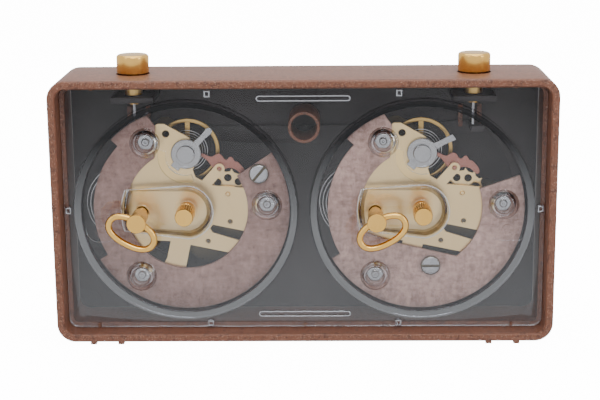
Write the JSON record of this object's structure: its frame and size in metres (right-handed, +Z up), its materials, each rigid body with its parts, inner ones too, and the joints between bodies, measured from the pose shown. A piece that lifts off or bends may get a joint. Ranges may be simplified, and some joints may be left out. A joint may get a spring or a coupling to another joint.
{
  "type": "chess clock",
  "caption": "Mechanical two-dial chess clock in a rectangular case, with a clear rear cover, winding keys, hand-setting knobs and push buttons joined by a rocker.",
  "frame": {"origin": "middle of the case's footprint on the surface it stands on, under the feet", "axes": "+Z up, +Y out of the dials, -Y out of the clear rear cover, +X to the right seen from the rear"},
  "size_m": [0.186, 0.0424, 0.1074],
  "materials": {
    "case_plastic": "mottled leather-look",
    "panel_plastic": "satin",
    "cover_clear": "clear polished",
    "lens_clear": "clear polished",
    "gold_plate": "polished",
    "brass": "lacquered satin",
    "zinc_steel": "zinc plated",
    "spring_steel": "satin",
    "bright_metal": "turned",
    "spacer_board": "pressed fibre board",
    "copper": "matt stamped",
    "dial_paint": "satin",
    "hand_black": "satin",
    "flag_red": "satin"
  },
  "bodies": {
    "case": {"case_shell": "case_plastic", "front_panel": "panel_plastic", "rear_cover": "cover_clear", "centre_tube": "case_plastic", "bushing_left": "gold_plate", "bushing_right": "gold_plate", "back_plate_left": "brass", "front_plate_left": "brass", "spacer_left": "spacer_board", "nut_top_left": "zinc_steel", "nut_side_left": "zinc_steel", "nut_low_left": "zinc_steel", "clamp_screw_left": "zinc_steel", "mainspring_left": "spring_steel", "hairspring_left": "spring_steel", "dial_left": "dial_paint", "crystal_left": "lens_clear", "back_plate_right": "brass", "front_plate_right": "brass", "spacer_right": "spacer_board", "nut_top_right": "zinc_steel", "nut_side_right": "zinc_steel", "nut_low_right": "zinc_steel", "clamp_screw_right": "zinc_steel", "mainspring_right": "spring_steel", "hairspring_right": "spring_steel", "dial_right": "dial_paint", "crystal_right": "lens_clear"},
    "rocker": {"rocker": "case_plastic"},
    "button_left": {"button_left": "gold_plate"},
    "button_right": {"button_right": "gold_plate"},
    "key_left": {"winding_key_left": "gold_plate"},
    "bail_left": {"key_ring_left": "gold_plate"},
    "great_left": {"great_wheel_left": "brass"},
    "centre_left": {"centre_wheel_left": "brass"},
    "third_left": {"third_wheel_left": "brass"},
    "fourth_left": {"fourth_wheel_left": "brass"},
    "escape_left": {"escape_wheel_left": "brass"},
    "pallet_left": {"pallet_lever_left": "copper"},
    "balance_left": {"balance_wheel_left": "brass"},
    "regulator_left": {"regulator_left": "bright_metal"},
    "hands_left": {"setting_knob_left": "gold_plate", "minute_hand_left": "hand_black"},
    "hour_left": {"hour_hand_left": "hand_black"},
    "flag_left": {"flag_left": "flag_red"},
    "key_right": {"winding_key_right": "gold_plate"},
    "bail_right": {"key_ring_right": "gold_plate"},
    "great_right": {"great_wheel_right": "brass"},
    "centre_right": {"centre_wheel_right": "brass"},
    "third_right": {"third_wheel_right": "brass"},
    "fourth_right": {"fourth_wheel_right": "brass"},
    "escape_right": {"escape_wheel_right": "brass"},
    "pallet_right": {"pallet_lever_right": "copper"},
    "balance_right": {"balance_wheel_right": "brass"},
    "regulator_right": {"regulator_right": "bright_metal"},
    "hands_right": {"setting_knob_right": "gold_plate", "minute_hand_right": "hand_black"},
    "hour_right": {"hour_hand_right": "hand_black"},
    "flag_right": {"flag_right": "flag_red"}
  },
  "joints": [
    {"name": "rocker_tilt", "type": "hinge", "parent": "case", "child": "rocker", "pos_m": [0, 0.01345, 0.076], "axis": [0, 1, 0], "range_deg": [-2.7, 2.7]},
    {"name": "button_left_travel", "type": "slide", "parent": "case", "child": "button_left", "axis": [0, 0, 1], "range_m": [-0.003, 0.003]},
    {"name": "button_right_travel", "type": "slide", "parent": "case", "child": "button_right", "axis": [0, 0, 1], "range_m": [-0.003, 0.003]},
    {"name": "winding_left", "type": "hinge", "parent": "case", "child": "key_left", "pos_m": [-0.0615, 0.00155, 0.0475], "axis": [0, 1, 0], "continuous": true},
    {"name": "bail_swing_left", "type": "hinge", "parent": "key_left", "child": "bail_left", "pos_m": [-0.0615, -0.01725, 0.0475], "axis": [0.8746, 0, -0.4848], "range_deg": [-160, 20]},
    {"name": "great_turn_left", "type": "hinge", "parent": "case", "child": "great_left", "pos_m": [-0.0615, 0.00155, 0.0475], "axis": [0, 1, 0], "continuous": true},
    {"name": "centre_turn_left", "type": "hinge", "parent": "case", "child": "centre_left", "pos_m": [-0.0442, 0.00155, 0.049], "axis": [0, 1, 0], "continuous": true},
    {"name": "third_turn_left", "type": "hinge", "parent": "case", "child": "third_left", "pos_m": [-0.0366, 0.00155, 0.0362], "axis": [0, 1, 0], "continuous": true},
    {"name": "fourth_turn_left", "type": "hinge", "parent": "case", "child": "fourth_left", "pos_m": [-0.0281, 0.00155, 0.0438], "axis": [0, 1, 0], "continuous": true},
    {"name": "escape_turn_left", "type": "hinge", "parent": "case", "child": "escape_left", "pos_m": [-0.02875, 0.00155, 0.0546], "axis": [0, 1, 0], "continuous": true},
    {"name": "pallet_rock_left", "type": "hinge", "parent": "case", "child": "pallet_left", "pos_m": [-0.0318, 0.00155, 0.0643], "axis": [0, 1, 0], "range_deg": [-4, 4]},
    {"name": "balance_swing_left", "type": "hinge", "parent": "case", "child": "balance_left", "pos_m": [-0.0441, 0.00155, 0.0703], "axis": [0, 1, 0], "range_deg": [-120, 120], "stiffness_Nm_per_rad": 0.000025},
    {"name": "regulator_shift_left", "type": "hinge", "parent": "case", "child": "regulator_left", "pos_m": [-0.0441, 0.00155, 0.0703], "axis": [0, 1, 0], "range_deg": [-15, 15]},
    {"name": "hand_setting_left", "type": "hinge", "parent": "case", "child": "hands_left", "pos_m": [-0.0442, 0.00155, 0.049], "axis": [0, 1, 0], "continuous": true},
    {"name": "hour_turn_left", "type": "hinge", "parent": "case", "child": "hour_left", "pos_m": [-0.0442, 0.00155, 0.049], "axis": [0, 1, 0], "continuous": true},
    {"name": "flag_lift_left", "type": "hinge", "parent": "case", "child": "flag_left", "pos_m": [-0.0442, 0.00155, 0.078], "axis": [0, 1, 0], "range_deg": [0, 80]},
    {"name": "winding_right", "type": "hinge", "parent": "case", "child": "key_right", "pos_m": [0.0269, 0.00155, 0.0475], "axis": [0, 1, 0], "continuous": true},
    {"name": "bail_swing_right", "type": "hinge", "parent": "key_right", "child": "bail_right", "pos_m": [0.0269, -0.01725, 0.0475], "axis": [0.8829, 0, 0.4695], "range_deg": [-160, 20]},
    {"name": "great_turn_right", "type": "hinge", "parent": "case", "child": "great_right", "pos_m": [0.0269, 0.00155, 0.0475], "axis": [0, 1, 0], "continuous": true},
    {"name": "centre_turn_right", "type": "hinge", "parent": "case", "child": "centre_right", "pos_m": [0.0442, 0.00155, 0.049], "axis": [0, 1, 0], "continuous": true},
    {"name": "third_turn_right", "type": "hinge", "parent": "case", "child": "third_right", "pos_m": [0.0518, 0.00155, 0.0362], "axis": [0, 1, 0], "continuous": true},
    {"name": "fourth_turn_right", "type": "hinge", "parent": "case", "child": "fourth_right", "pos_m": [0.0603, 0.00155, 0.0438], "axis": [0, 1, 0], "continuous": true},
    {"name": "escape_turn_right", "type": "hinge", "parent": "case", "child": "escape_right", "pos_m": [0.05965, 0.00155, 0.0546], "axis": [0, 1, 0], "continuous": true},
    {"name": "pallet_rock_right", "type": "hinge", "parent": "case", "child": "pallet_right", "pos_m": [0.0566, 0.00155, 0.0643], "axis": [0, 1, 0], "range_deg": [-4, 4]},
    {"name": "balance_swing_right", "type": "hinge", "parent": "case", "child": "balance_right", "pos_m": [0.0443, 0.00155, 0.0703], "axis": [0, 1, 0], "range_deg": [-120, 120], "stiffness_Nm_per_rad": 0.000025},
    {"name": "regulator_shift_right", "type": "hinge", "parent": "case", "child": "regulator_right", "pos_m": [0.0443, 0.00155, 0.0703], "axis": [0, 1, 0], "range_deg": [-15, 15]},
    {"name": "hand_setting_right", "type": "hinge", "parent": "case", "child": "hands_right", "pos_m": [0.0442, 0.00155, 0.049], "axis": [0, 1, 0], "continuous": true},
    {"name": "hour_turn_right", "type": "hinge", "parent": "case", "child": "hour_right", "pos_m": [0.0442, 0.00155, 0.049], "axis": [0, 1, 0], "continuous": true},
    {"name": "flag_lift_right", "type": "hinge", "parent": "case", "child": "flag_right", "pos_m": [0.0442, 0.00155, 0.078], "axis": [0, 1, 0], "range_deg": [0, 80]}
  ],
  "couplings": [
    {"joint": "button_left_travel", "follows": "rocker_tilt", "m_per_rad": 0.0635},
    {"joint": "button_right_travel", "follows": "rocker_tilt", "m_per_rad": -0.0635},
    {"joint": "fourth_turn_left", "follows": "escape_turn_left", "ratio": -0.125},
    {"joint": "third_turn_left", "follows": "escape_turn_left", "ratio": 0.016667},
    {"joint": "centre_turn_left", "follows": "escape_turn_left", "ratio": -0.0020833},
    {"joint": "great_turn_left", "follows": "escape_turn_left", "ratio": 0.00034722},
    {"joint": "hour_turn_left", "follows": "hand_setting_left", "ratio": 0.083333},
    {"joint": "fourth_turn_right", "follows": "escape_turn_right", "ratio": -0.125},
    {"joint": "third_turn_right", "follows": "escape_turn_right", "ratio": 0.016667},
    {"joint": "centre_turn_right", "follows": "escape_turn_right", "ratio": -0.0020833},
    {"joint": "great_turn_right", "follows": "escape_turn_right", "ratio": 0.00034722},
    {"joint": "hour_turn_right", "follows": "hand_setting_right", "ratio": 0.083333}
  ]
}
